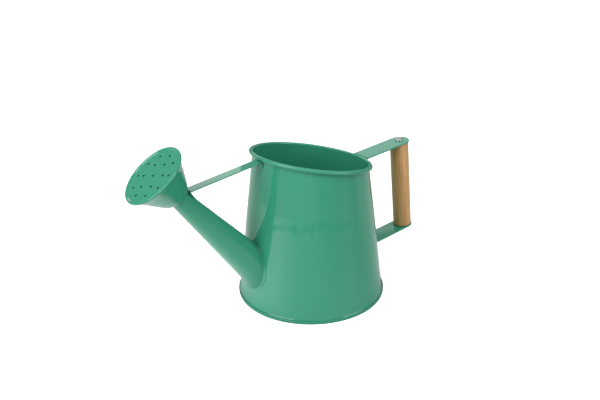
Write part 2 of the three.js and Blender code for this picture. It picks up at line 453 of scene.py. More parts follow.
@dataclass(frozen=True)
class GlowEdge:
    """Where one tone of the table gives way to the next."""

    middle: float
    half: float

    def rise(self, tree: ShaderTree, value: Signal) -> Signal:
        """A mask that rises from 0 to 1 as a value passes the edge.

        Args:
            tree: The tree that the mask is made in.
            value: What is compared with the edge.

        Returns:
            The mask.
        """
        limits = {1: self.middle - self.half, 2: self.middle + self.half, 3: 0.0, 4: 1.0}
        settings = {"interpolation_type": "SMOOTHSTEP", "clamp": True}
        return tree.signal("ShaderNodeMapRange", settings, {0: value, **limits})


@dataclass(frozen=True)
class TableGlow:
    """The lit table as the enamel mirrors it: its tones, where they change round the can, and a
    painted shadow round the can's foot.

    Lengths are from the body's axis. Ahead is out of the studio's front, and aside is to the
    left of it.
    """

    name: str = "table_glow"
    front: float = STUDIO_FRONT
    left_tone: float = 1.5
    right_tone: float = 0.36
    rim_tone: float = 0.0
    near_tone: float = 0.68
    far_tone: float = 0.60
    back_tone: float = 0.64
    # Painted shadow: the dim glow close round the can's foot, standing in for its shadow on the table.
    contact_shadow_tone: float = 0.35
    squash: float = 0.727
    rim: GlowEdge = GlowEdge(0.395, 0.007)
    rim_width: float = 0.03
    rim_start: GlowEdge = GlowEdge(0.16, 0.05)
    far: GlowEdge = GlowEdge(0.48, 0.012)
    left: GlowEdge = GlowEdge(0.62, 0.32)
    right: GlowEdge = GlowEdge(0.12, 0.14)
    behind: GlowEdge = GlowEdge(0.0, 0.1)
    # Painted shadow: within this distance of the body's axis the glow falls to the contact shadow
    # tone.
    clear: GlowEdge = GlowEdge(0.082, 0.02)
    rough: Grain = Grain(14.0, 3.0)
    rough_reach: float = 0.10
    wave: Grain = Grain(13.0, 3.0)
    wave_reach: float = 0.11

    def _rim(self, tree: ShaderTree, wavy: Signal, ahead: Signal) -> Signal:
        """A mask of the table's edge, a wavy line that is drawn only in front of the can.

        Args:
            tree: The tree that the mask is made in.
            wavy: Uneven distance from the body's axis.
            ahead: Distance in front of the body's axis.

        Returns:
            The mask.
        """
        outer = GlowEdge(self.rim.middle + self.rim_width, self.rim.half)
        line = self.rim.rise(tree, wavy) * (1 - outer.rise(tree, wavy))
        return line * self.rim_start.rise(tree, ahead)

    def material(self) -> bpy.types.Material:
        """Builds the node material.

        Returns:
            The material.
        """
        tree = ShaderTree.material(self.name)
        parts = tree.node("ShaderNodeSeparateXYZ", {}, {"Vector": tree.object_place()})
        x = Signal(tree, parts.outputs["X"]) - WALL.axis_x
        y = Signal(tree, parts.outputs["Y"])
        ahead = x * math.sin(self.front) + y * -math.cos(self.front)
        aside = x * -math.cos(self.front) + y * -math.sin(self.front)
        reach = ((ahead * self.squash) ** 2 + aside * aside) ** 0.5
        gap = (ahead * ahead + aside * aside) ** 0.5
        rough = reach + (tree.grain(self.rough) - 0.5) * self.rough_reach
        wavy = reach + (tree.grain(self.wave) - 0.5) * self.wave_reach
        far = self.far.rise(tree, rough)
        left = self.left.rise(tree, aside / gap) * (1 - far)
        colour = tree.mix(far, grey(self.near_tone), grey(self.far_tone))
        for mask, tone in (
            (left, self.left_tone),
            (self.right.rise(tree, 0 - aside), self.right_tone),
            (self._rim(tree, wavy, ahead), self.rim_tone),
            (self.behind.rise(tree, 0 - ahead), self.back_tone),
        ):
            colour = tree.mix(mask, colour, grey(tone))
        # Painted shadow: the glow darkens close round the can's foot.
        colour = tree.mix(self.clear.rise(tree, gap), grey(self.contact_shadow_tone), colour)
        glow = {"Emission Color": colour, "Emission Strength": 1.0}
        return tree.surface({"Base Color": grey(0), **glow})


# ---------------------------------------------------------------- mesh work


def arc(
    centre: tuple[float, float], radius: float, start: float, end: float, steps: int
) -> list[tuple[float, float]]:
    """Points of a circular arc.

    Args:
        centre: The circle's centre.
        radius: Its radius.
        start: First angle in degrees.
        end: Last angle in degrees.
        steps: Number of chords.

    Returns:
        The points, both ends included.
    """
    angles = [math.radians(start + (end - start) * i / steps) for i in range(steps + 1)]
    return [(centre[0] + radius * math.cos(a), centre[1] + radius * math.sin(a)) for a in angles]


def between(start: float, end: float, steps: int) -> list[float]:
    """Evenly spaced values, both ends included."""
    return [start + (end - start) * i / steps for i in range(steps + 1)]


def catmull_rom(a: float, b: float, c: float, d: float, t: float) -> float:
    """A Catmull-Rom curve's value between b and c.

    Args:
        a: The value before b.
        b: The value where the stretch starts.
        c: The value where it ends.
        d: The value after c.
        t: Share of the way from b to c.

    Returns:
        The value.
    """
    square = (2 * a - 5 * b + 4 * c - d) * t**2
    cube = (3 * b - a - 3 * c + d) * t**3
    return 0.5 * (2 * b + (c - a) * t + square + cube)


def smooth_curve(points: Sequence[tuple[float, float]], steps: int) -> list[tuple[float, float]]:
    """A smooth curve through points.

    Args:
        points: The points that it passes.
        steps: Number of chords from each point to the next.

    Returns:
        The curve's points, both ends included.
    """
    padded = [points[0], *points, points[-1]]
    made = []
    for i in range(len(points) - 1):
        near = padded[i : i + 4]
        for j in range(steps):
            made.append(tuple(catmull_rom(*values, j / steps) for values in zip(*near)))
    return [*made, points[-1]]


def circle_angles(steps: int) -> list[float]:
    """Evenly spaced angles of one full turn, in radians."""
    return [FULL_TURN * i / steps for i in range(steps)]


def skin(rings: Sequence[Ring], closed: bool = False) -> bmesh.types.BMesh:
    """Joins rings of vertices with faces. A ring of one vertex closes the skin in a point.

    Args:
        rings: Rings in order, each with the same number of vertices or just one.
        closed: Whether the last ring joins the first.

    Returns:
        The skin, with its faces looking out.
    """
    made = bmesh.new()
    rows = [[made.verts.new(place) for place in ring] for ring in rings]
    pairs = list(zip(rows, rows[1:]))
    if closed:
        pairs.append((rows[-1], rows[0]))
    for low, high in pairs:
        count = max(len(low), len(high))
        for i in range(count):
            j = (i + 1) % count
            if len(low) == 1:
                made.faces.new((low[0], high[j], high[i]))
            elif len(high) == 1:
                made.faces.new((low[i], low[j], high[0]))
            else:
                made.faces.new((low[i], low[j], high[j], high[i]))
    bmesh.ops.recalc_face_normals(made, faces=made.faces)
    return made


def turned(profile: Iterable[tuple[float, float]], steps: int, place: Matrix) -> list[Ring]:
    """Rings of a profile of (radius, height) turned round the Z axis.

    Args:
        profile: The profile's points. A radius of 0 gives a single vertex.
        steps: Vertices in each ring.
        place: Where the axis goes.

    Returns:
        The rings.
    """
    rings = []
    for radius, height in profile:
        angles = circle_angles(steps) if radius else [0.0]
        flat = [Vector((radius * math.cos(a), radius * math.sin(a), height)) for a in angles]
        rings.append([place @ point for point in flat])
    return rings


def link_mesh(name: str, work: bmesh.types.BMesh) -> bpy.types.Object:
    """Puts a mesh into the scene as an object of its own.

    Args:
        name: The object's name.
        work: Its mesh, which is used up.

    Returns:
        The object.
    """
    mesh = bpy.data.meshes.new(name)
    work.to_mesh(mesh)
    work.free()
    made = bpy.data.objects.new(name, mesh)
    bpy.context.scene.collection.objects.link(made)
    return made


def cut(work: bmesh.types.BMesh, cutter: bmesh.types.BMesh) -> bmesh.types.BMesh:
    """Takes one mesh out of another with an exact boolean.

    Args:
        work: What is cut.
        cutter: What is taken out.

    Returns:
        The cut mesh.
    """
    objects = [link_mesh("cut_work", work), link_mesh("cut_tool", cutter)]
    modifier = objects[0].modifiers.new("cut", "BOOLEAN")
    modifier.object = objects[1]
    modifier.operation = "DIFFERENCE"
    modifier.solver = "EXACT"
    bpy.context.view_layer.update()
    shape = objects[0].evaluated_get(bpy.context.evaluated_depsgraph_get())
    result = bmesh.new()
    result.from_mesh(shape.to_mesh())
    shape.to_mesh_clear()
    for thing in objects:
        mesh = thing.data
        bpy.data.objects.remove(thing)
        bpy.data.meshes.remove(mesh)
    bmesh.ops.remove_doubles(result, verts=result.verts, dist=WELD)
    return result


def soften(
    work: bmesh.types.BMesh,
    chosen: Callable[[bmesh.types.BMEdge], bool],
    width: float,
    segments: int = 3,
) -> None:
    """Rounds the chosen edges of a mesh.

    Args:
        work: The mesh.
        chosen: Says which edges are rounded.
        width: Width of the rounding.
        segments: Number of facets across it.
    """
    edges = [edge for edge in work.edges if chosen(edge)]
    bmesh.ops.bevel(
        work,
        geom=edges,
        offset=width,
        offset_type="OFFSET",
        segments=segments,
        profile=0.5,
        affect="EDGES",
        clamp_overlap=True,
    )


def sharper_than(degrees: float) -> Callable[[bmesh.types.BMEdge], bool]:
    """A test for edges whose faces meet at more than an angle."""
    limit = math.radians(degrees)
    return lambda edge: len(edge.link_faces) == 2 and edge.calc_face_angle() > limit


def add_piece(
    name: str,
    work: bmesh.types.BMesh,
    finish: bpy.types.Material,
    nodes: Sequence[str],
    crease: float = 38.0,
) -> bpy.types.Object:
    """Makes a finished piece of the can from a mesh.

    Args:
        name: The piece's name.
        work: Its mesh, in the can's frame.
        finish: Its material.
        nodes: CAD nodes that it stands for.
        crease: Angle in degrees over which an edge stays sharp.

    Returns:
        The piece.
    """
    sharp = sharper_than(crease)
    for edge in work.edges:
        edge.smooth = not sharp(edge)
    for face in work.faces:
        face.smooth = True
    piece = link_mesh(name, work)
    piece.data.materials.append(finish)
    normals = piece.modifiers.new("even_normals", "WEIGHTED_NORMAL")
    normals.keep_sharp = True
    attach(piece, "root")
    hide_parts(*nodes)
    return piece


# ---------------------------------------------------------------- the can's lines


@dataclass(frozen=True)
class Wall:
    """The conical wall that every other piece is placed by."""

    axis_x: float = 20.1 * MM
    base_radius: float = 69.0 * MM
    taper: float = 0.126
    mouth_height: float = 132.9 * MM
    mouth_slope: float = -0.18
    lean_end: float = 4 * MM
    sheet: float = 0.6 * MM
    dent_length: float = 26 * MM
    dent_depth: float = 0.38 * MM
    dent_rise: float = 0.5
    ripple_scale: float = 2.6
    ripple_shift: tuple[float, float] = (0.3, 0.1)
    ripple_rise: float = 0.4
    ripple_share: float = 0.45

    def radius(self, height: float) -> float:
        """Outer radius of the wall at a height."""
        return self.base_radius - self.taper * height

    def place(self, angle: float, height: float, proud: float) -> Vector:
        """A point near the wall.

        Args:
            angle: Direction from the body's axis, in radians.
            height: Height above the floor.
            proud: Distance outside the wall's outer face.

        Returns:
            The point.
        """
        radius = self.radius(height) + proud
        x, y = radius * math.cos(angle), radius * math.sin(angle)
        return Vector((self.axis_x + x, y, height))

    def dent(self, angle: float, height: float) -> float:
        """How far the hand-rolled wall strays from a true cone.

        Args:
            angle: Direction from the body's axis, in radians.
            height: Height above the floor.

        Returns:
            The distance, positive outwards.
        """
        around = Vector((math.cos(angle), math.sin(angle), 0)) * self.base_radius
        up = Vector((0, 0, height * self.dent_rise))
        shift = Vector((*self.ripple_shift, height * self.ripple_rise))
        slow = noise.noise((around + up) / self.dent_length)
        fine = noise.noise((around * self.ripple_scale + shift) / self.dent_length)
        return self.dent_depth * (slow + self.ripple_share * fine)

    def leaned(self, angle: float, height: float, proud: float) -> Vector:
        """A point near the wall, its height measured along the wall up to the slanted mouth.

        Args:
            angle: Direction from the body's axis, in radians.
            height: Height that the point would have with a level mouth.
            proud: Distance outside the wall's outer face.

        Returns:
            The point.
        """
        share = min(1.0, height / (self.mouth_height - self.lean_end))
        rise = self.mouth_slope * math.cos(angle) * share
        real = (height + rise * (self.base_radius + proud)) / (1 + rise * self.taper)
        return self.place(angle, real, proud)


WALL = Wall()


@dataclass(frozen=True)
class SpoutLine:
    """The straight axis that the spout and the rose share."""

    root_height: float = 42.9 * MM
    lean: float = math.radians(39.3)
    root_radius: float = 16.0 * MM
    taper: float = 0.078
    length: float = 101.5 * MM

    def frame(self) -> Matrix:
        """Z runs along the axis, and X points to the spout's upper side."""
        root = Vector((WALL.axis_x - WALL.radius(self.root_height), 0, self.root_height))
        return Matrix.Translation(root) @ Matrix.Rotation(-self.lean, 4, "Y")

    def radius(self, along: float) -> float:
        """Outer radius of the spout at a distance along its axis."""
        return self.root_radius - self.taper * along

    def beside(self, along: float, above: float) -> Vector:
        """A point in the can's middle plane, by its place along and above the axis."""
        return self.frame() @ Vector((above, 0, along))


SPOUT = SpoutLine()


# ---------------------------------------------------------------- body


@dataclass
class Body:
    """The wall with its rolled mouth, and the base folded round its foot."""

    enamel: bpy.types.Material
    steel: bpy.types.Material
    steps: int = 224
    # The wall's foot, which flares and curls out just above the hem and tucks into it
    foot_height: float = 1.2 * MM
    groove_height: float = 3.1 * MM
    groove_depth: float = 0.14 * MM
    groove_blend: float = 0.5 * MM
    curl_height: float = 4.2 * MM
    curl_radius: float = 2.0 * MM
    flare_height: float = 8.0 * MM
    flare: float = 0.28 * MM
    foot_rows: tuple[int, int, int] = (6, 10, 8)
    # The wall and its side seam
    wall_rows: int = 48
    lining_rows: int = 40
    even_foot: float = 12 * MM
    even_top: float = 8 * MM
    even_top_blend: float = 14 * MM
    seam_width: float = 4.5 * MM
    seam_proud: float = 0.2 * MM
    seam_edge: float = 0.5 * MM
    seam_end: float = 6 * MM
    seam_end_blend: float = 3 * MM
    # The hole behind the spout
    hole_radius: float = 12.5 * MM
    hole_reach: float = 30 * MM
    hole_steps: int = 72
    # The roll round the mouth
    bead_radius: float = 1.85 * MM
    bead_end: float = -118.0
    bead_steps: int = 30
    bead_inner_steps: int = 22
    wire_gap: float = 0.3 * MM
    wire_steps: int = 12
    # The bottom disc and its hem, whose channel is given by distances from the wall and heights
    disc_flat: float = 30 * MM
    disc_underside: float = 2.8 * MM
    disc_inset: float = 2.1 * MM
    hem_radius: float = 0.6 * MM
    hem_proud: float = 0.5 * MM
    hem_leg: float = 1.2 * MM
    hem_steps: int = 6
    crown_radius: float = 0.25 * MM
    crown_inset: float = 0.34 * MM
    crown_height: float = 2.75 * MM
    crown_steps: int = 8
    channel: tuple[tuple[float, float], ...] = (
        (0.62 * MM, 1.0 * MM),
        (0.3 * MM, 0.7 * MM),
        (-0.7 * MM, 0.7 * MM),
        (-0.9 * MM, 0.9 * MM),
        (-0.9 * MM, 2.9 * MM),
        (-1.4 * MM, 3.4 * MM),
    )

    def _flared(self, height: float) -> float:
        """How far the wall's foot spreads.

        Args:
            height: Height above the floor.

        Returns:
            The distance outside the true cone.
        """
        run = self.flare_height - self.groove_height
        share = clamped((self.flare_height - height) / run)
        reach = self.curl_height - min(self.curl_height, max(height, self.groove_height))
        curl = self.curl_radius - math.sqrt(self.curl_radius**2 - reach**2)
        tuck = clamped((self.groove_height - height) / self.groove_blend)
        return self.flare * share**2 + curl - self.groove_depth * tuck

    def _seamed(self, angle: float, height: float) -> float:
        """How far the side seam stands out, a flat fold down the handle's side.

        Args:
            angle: Direction from the body's axis, in radians.
            height: Height above the floor.

        Returns:
            The distance, 0 beside the seam.
        """
        across = abs(math.remainder(angle, FULL_TURN)) * WALL.radius(height)
        edge = (self.seam_width / 2 - across) / self.seam_edge
        fade = (WALL.mouth_height - self.seam_end - height) / self.seam_end_blend
        return self.seam_proud * clamped(edge) * clamped(fade)

    def _dented(self, angle: float, height: float) -> float:
        """The wall's unevenness, which fades towards its stiff foot and mouth.

        Args:
            angle: Direction from the body's axis, in radians.
            height: Height above the floor.

        Returns:
            The distance, positive outwards.
        """
        low = (height - self.flare_height) / self.even_foot
        high = (WALL.mouth_height - self.even_top - height) / self.even_top_blend
        return WALL.dent(angle, height) * clamped(min(low, high))

    def _bead(self) -> tuple[float, float]:
        """The middle of the mouth's roll: distance outside the wall, and height."""
        return self.bead_radius - WALL.sheet, WALL.mouth_height - self.bead_radius

    def _outer_profile(self) -> list[tuple[float, float]]:
        """The wall's outer face, as distances outside the true cone and heights.

        Returns:
            The profile's points, from the foot up to the roll.
        """
        marks = (self.foot_height, self.groove_height, self.curl_height, self.flare_height)
        heights = [self.foot_height]
        for start, end, rows in zip(marks, marks[1:], self.foot_rows):
            heights += between(start, end, rows)[1:]
        heights += between(self.flare_height, self._bead()[1], self.wall_rows)[1:]
        return [(self._flared(z), z) for z in heights]

    def _inner_profile(self) -> list[tuple[float, float]]:
        """The roll round the mouth and the wall's inner face.

        Returns:
            The profile's points, from the start of the roll down to the foot.
        """
        middle = self._bead()
        hollow = arc(middle, middle[0], 180, self.bead_end, self.bead_inner_steps)
        roll = arc(middle, self.bead_radius, self.bead_end, 180, self.bead_steps)
        heights = between(middle[1], self.foot_height, self.lining_rows)
        lining = [(self._flared(z) - WALL.sheet, z) for z in heights]
        return [*hollow[1:], *roll, *lining[1:]]

    def shell(self) -> bpy.types.Object:
        """Builds the wall with the roll round its mouth and the hole behind the spout.

        Returns:
            The piece.
        """
        outer = self._outer_profile()
        rings = []
        for row, (proud, height) in enumerate([*outer, *self._inner_profile()]):
            ring = []
            for angle in circle_angles(self.steps):
                extra = self._seamed(angle, height) if row < len(outer) else 0.0
                out = proud + extra + self._dented(angle, height)
                ring.append(WALL.leaned(angle, height, out))
            rings.append(ring)
        sides = [(self.hole_radius, z) for z in (-self.hole_reach, self.hole_reach)]
        profile = [(0, -self.hole_reach), *sides, (0, self.hole_reach)]
        hole = turned(profile, self.hole_steps, SPOUT.frame())
        wall = cut(skin(rings, closed=True), skin(hole))
        return add_piece("body_wall", wall, self.enamel, ["body_shell"])

    def wire(self) -> bpy.types.Object:
        """Builds the wire inside the roll.

        Returns:
            The piece.
        """
        middle = self._bead()
        section = arc(middle, middle[0] - self.wire_gap, 0, 360, self.wire_steps)[:-1]
        angles = circle_angles(self.steps)
        rings = [[WALL.leaned(a, height, proud) for a in angles] for proud, height in section]
        return add_piece("mouth_wire", skin(rings, closed=True), self.steel, ["rim_wire"])

    def base(self) -> bpy.types.Object:
        """Builds the bottom disc and the fold round the wall's foot.

        Returns:
            The piece.
        """

        def at(proud: float, height: float) -> tuple[float, float]:
            """A point by its distance outside the wall and its height."""
            return WALL.radius(height) + proud, height

        bend, steps = self.hem_radius, self.hem_steps
        top = self.disc_underside + WALL.sheet
        shoulder = at(-self.disc_inset, self.disc_underside - bend)
        foot = at(self.hem_proud, bend)
        crown = (foot[0] + self.crown_inset, self.crown_height)
        profile = [(0, self.disc_underside), (self.disc_flat, self.disc_underside)]
        profile += [at(-self.disc_inset, self.disc_underside)]
        profile += arc(shoulder, bend, 90, 0, steps)[1:]
        profile += arc((shoulder[0] + self.hem_leg, bend), bend, 180, 270, steps)
        profile += arc(foot, bend, 270, 360, steps)
        profile += arc(crown, self.crown_radius, 0, 180, self.crown_steps)
        profile += [at(proud, height) for proud, height in self.channel]
        profile += [(self.disc_flat, top), (0, top)]
        place = Matrix.Translation((WALL.axis_x, 0, 0))
        work = skin(turned(profile, self.steps, place))
        return add_piece("base_with_hem", work, self.enamel, ["base_plate"])

    def build(self) -> list[bpy.types.Object]:
        """Builds the body's three pieces."""
        return [self.shell(), self.wire(), self.base()]


# ---------------------------------------------------------------- bent strips


@dataclass
class BentStrip:
    """A flat strip of steel bent along a route in the can's middle plane."""

    route: list[Vector]
    bends: list[float]
    width: float
    thickness: float
    round_end: bool = False
    corner: float = 1.2 * MM
    edge: float = 0.3 * MM
    sharp_angle: float = math.radians(60)
    slice_gap: float = 0.1 * WELD
    facets: int = 12
    corner_steps: int = 6
    end_steps: int = 48
    line: list[Vector] = field(default_factory=list)

    def __post_init__(self) -> None:
        """Works out the middle line, with its corners rounded."""
        self.line = [self.route[0]]
        for i, length in enumerate(self.bends):
            before, corner, after = self.route[i : i + 3]
            start = corner + (before - corner).normalized() * length
            end = corner + (after - corner).normalized() * length
            for j in range(self.facets + 1):
                t = j / self.facets
                self.line.append(start * (1 - t) ** 2 + corner * 2 * t * (1 - t) + end * t**2)
        self.line.append(self.route[-1])

    def _stations(self) -> list[float]:
        """Distances along the middle line.

        Returns:
            The distance of each of its points from its start.
        """
        made = [0.0]
        for a, b in zip(self.line, self.line[1:]):
            made.append(made[-1] + (b - a).length)
        return made

    def _bend(self, flat: Vector, stations: list[float]) -> Vector:
        """Finds a point of the flat strip on the bent one.

        Args:
            flat: The point, by its way along, across and above the flat strip's middle.
            stations: Distances along the middle line.

        Returns:
            Its place.
        """
        last = len(stations) - 2
        i = next((k for k in range(last) if flat.x < stations[k + 1]), last)
        share = (flat.x - stations[i]) / (stations[i + 1] - stations[i])

        def across(k: int) -> Vector:
            """The strip's normal at a point of the line.

            Args:
                k: Which point.

            Returns:
                The normal, of length 1.
            """
            low, high = max(k - 1, 0), min(k + 1, len(self.line) - 1)
            along = (self.line[high] - self.line[low]).normalized()
            return Vector((-along.z, 0, along.x))

        normal = across(i).lerp(across(i + 1), clamped(share)).normalized()
        place = self.line[i].lerp(self.line[i + 1], share)
        return place + normal * flat.z + Vector((0, flat.y, 0))

    def _outline(self, length: float) -> list[tuple[float, float]]:
        """The flat strip's outline.

        Args:
            length: Length of the middle line.

        Returns:
            The outline's points, as ways along and across.
        """
        half, r, n = self.width / 2, self.corner, self.corner_steps
        start = arc((r, half - r), r, 90, 180, n) + arc((r, r - half), r, 180, 270, n)
        if self.round_end:
            return start + arc((length - half, 0), half, -90, 90, self.end_steps)
        far = length - r
        return start + arc((far, r - half), r, -90, 0, n) + arc((far, half - r), r, 0, 90, n)

    def mesh(self) -> bmesh.types.BMesh:
        """Builds the strip.

        Returns:
            Its mesh.
        """
        stations = self._stations()
        work = bmesh.new()
        outline = self._outline(stations[-1])
        low = [work.verts.new((x, y, -self.thickness / 2)) for x, y in outline]
        face = work.faces.new(low)
        raised = bmesh.ops.extrude_face_region(work, geom=[face])["geom"]
        tops = [v for v in raised if isinstance(v, bmesh.types.BMVert)]
        bmesh.ops.translate(work, verts=tops, vec=(0, 0, self.thickness))
        bmesh.ops.recalc_face_normals(work, faces=work.faces)
        soften(work, lambda edge: edge.calc_face_angle(0) > self.sharp_angle, self.edge)
        for station in stations[1:-1]:
            everything = [*work.verts, *work.edges, *work.faces]
            plane = {"plane_co": (station, 0, 0), "plane_no": (1, 0, 0)}
            bmesh.ops.bisect_plane(work, geom=everything, dist=self.slice_gap, **plane)
        for vertex in work.verts:
            vertex.co = self._bend(vertex.co.copy(), stations)
        bmesh.ops.recalc_face_normals(work, faces=work.faces)
        return work


def crossing(a: Vector, along_a: Vector, b: Vector, along_b: Vector) -> Vector:
    """Where two lines of the middle plane cross.

    Args:
        a: A point of the first line.
        along_a: The first line's direction.
        b: A point of the second line.
        along_b: The second line's direction.

    Returns:
        The crossing.
    """
    area = along_a.x * along_b.z - along_a.z * along_b.x
    gap = b - a
    reach = (gap.x * along_b.z - gap.z * along_b.x) / area
    return a + along_a * reach


# ---------------------------------------------------------------- spout


@dataclass
class Spout:
    """The conical tube with its soldered flange, and the brace that holds it."""

    enamel: bpy.types.Material
    steps: int = 160
    # The joint with the wall
    flange: float = 1.2 * MM
    fillet: float = 0.9 * MM
    lip_low: float = 0.02 * MM
    lip_top: float = 0.30 * MM
    fillet_foot: float = 0.34 * MM
    fillet_climb: float = 0.9 * MM
    fillet_rows: int = 8
    tube_rows: int = 14
    search: tuple[float, float] = (-30 * MM, 45 * MM)
    halvings: int = 40
    wall_gap: float = 0.05 * MM
    # The brace
    brace_width: float = 9.8 * MM
    brace_thickness: float = 1.1 * MM
    brace_gap: float = 0.1 * MM
    brace_wall_height: float = 137.9 * MM
    brace_slope: float = 0.169
    brace_foot: float = 5.5 * MM
    brace_tab_end: float = 91.8 * MM
    brace_bends: tuple[float, float] = (1.9 * MM, 2.6 * MM)
    brace_corner: float = 0.7 * MM
    brace_edge: float = 0.25 * MM
    tab_reach: float = 2.2 * MM
    tab_start: float = 3 * MM
    tab_blend: float = 4 * MM

    def _meets_wall(self, angle: float, proud: float) -> float:
        """Where a straight line of the tube's skin meets the wall.

        Args:
            angle: The line's direction round the spout's axis.
            proud: Distance of the tube's skin from its nominal radius.

        Returns:
            The distance along the spout's axis.
        """
        low, high = self.search
        for _ in range(self.halvings):
            middle = (low + high) / 2
            p = self._skin_point(angle, middle, proud)
            outside = math.hypot(p.x - WALL.axis_x, p.y) > WALL.radius(p.z) + self.wall_gap
            low, high = (low, middle) if outside else (middle, high)
        return high

    def _skin_point(self, angle: float, along: float, proud: float) -> Vector:
        """A point of the tube's skin."""
        r = SPOUT.radius(along) + proud
        return SPOUT.frame() @ Vector((r * math.cos(angle), r * math.sin(angle), along))

    def _on_wall(self, point: Vector, proud: float) -> Vector:
        """A point moved level to a distance outside the wall."""
        angle = math.atan2(point.y, point.x - WALL.axis_x)
        return WALL.place(angle, point.z, proud)

    def _joint_rows(self, joint: Sequence[tuple[float, float]]) -> list[Ring]:
        """The lip and the hollow fillet of the joint with the wall.

        Args:
            joint: Directions round the axis, each with the distance at which it meets the wall.

        Returns:
            The rings, from the wall to the tube.
        """
        edge = [self._skin_point(a, s, self.flange + self.fillet) for a, s in joint]
        rows = [[self._on_wall(p, proud) for p in edge] for proud in (self.lip_low, self.lip_top)]
        for t in between(0, 1, self.fillet_rows):
            spread, climb = self.fillet * (1 - t) ** 2, self.fillet * t**2
            ring = [self._skin_point(a, s + climb, spread) for a, s in joint]
            if t < 1:
                proud = self.fillet_foot + self.fillet_climb * t**2
                ring = [self._on_wall(p, proud).lerp(p, t) for p in ring]
            rows.append(ring)
        return rows

    def tube(self) -> bpy.types.Object:
        """Builds the tube with the fillet and thin lip of its joint with the wall.

        Returns:
            The piece.
        """
        angles = circle_angles(self.steps)
        joint = [(a, self._meets_wall(a, 0)) for a in angles]
        bore = [(a, self._meets_wall(a, -WALL.sheet)) for a in angles]
        rows = self._joint_rows(joint)
        neck = SPOUT.length
        starts = [(a, s + self.fillet) for a, s in joint]
        for t in between(0, 1, self.tube_rows)[1:]:
            rows.append([self._skin_point(a, s + (neck - s) * t, 0) for a, s in starts])
        for t in reversed(between(0, 1, self.tube_rows)):
            rows.append([self._skin_point(a, s + (neck - s) * t, -WALL.sheet) for a, s in bore])
        work = skin(rows, closed=True)
        return add_piece("spout_cone", work, self.enamel, ["spout_tube"])

    def brace(self) -> bpy.types.Object:
        """Builds the strip from the mouth's edge to the top of the spout.

        Returns:
            The piece.
        """
        half = self.brace_thickness / 2

        def on_wall(z: float) -> Vector:
            """The strip's middle where it lies on the wall."""
            return Vector((WALL.axis_x - WALL.radius(z) - self.brace_gap - half, 0, z))

        def on_spout(along: float) -> Vector:
            """The strip's middle where it lies on the spout."""
            return SPOUT.beside(along, SPOUT.radius(along) + half)

        head = on_wall(self.brace_wall_height)
        foot = on_wall(self.brace_wall_height - self.brace_foot)
        tab_end = on_spout(self.brace_tab_end)
        slope = Vector((1, 0, self.brace_slope))
        fold = crossing(head, slope, tab_end, on_spout(SPOUT.length) - tab_end)
        strip = BentStrip(
            [foot, head, fold, tab_end],
            list(self.brace_bends),
            self.brace_width,
            self.brace_thickness,
            corner=self.brace_corner,
            edge=self.brace_edge,
        )
        work = strip.mesh()
        self._hug_spout(work)
        return add_piece("spout_brace_strip", work, self.enamel, ["spout_brace"])

    def _hug_spout(self, work: bmesh.types.BMesh) -> None:
        """Presses the brace's tab round the spout, so that it lies on it.

        Args:
            work: The brace's mesh.
        """
        local = SPOUT.frame().inverted()
        up = SPOUT.frame().to_3x3() @ Vector((1, 0, 0))
        top = SPOUT.length - self.tab_start
        for vertex in work.verts:
            place = local @ vertex.co
            r = SPOUT.radius(place.z)
            share = clamped((r + self.tab_reach - place.x) / self.brace_thickness)
            if place.x < 0 or share == 0 or place.z > top:
                continue
            drop = r - math.sqrt(max(0.0, r**2 - place.y**2))
            fade = min(1.0, (top - place.z) / self.tab_blend)
            vertex.co -= up * drop * share * fade

    def build(self) -> list[bpy.types.Object]:
        """Builds the spout's two pieces."""
        return [self.tube(), self.brace()]


# ---------------------------------------------------------------- rose


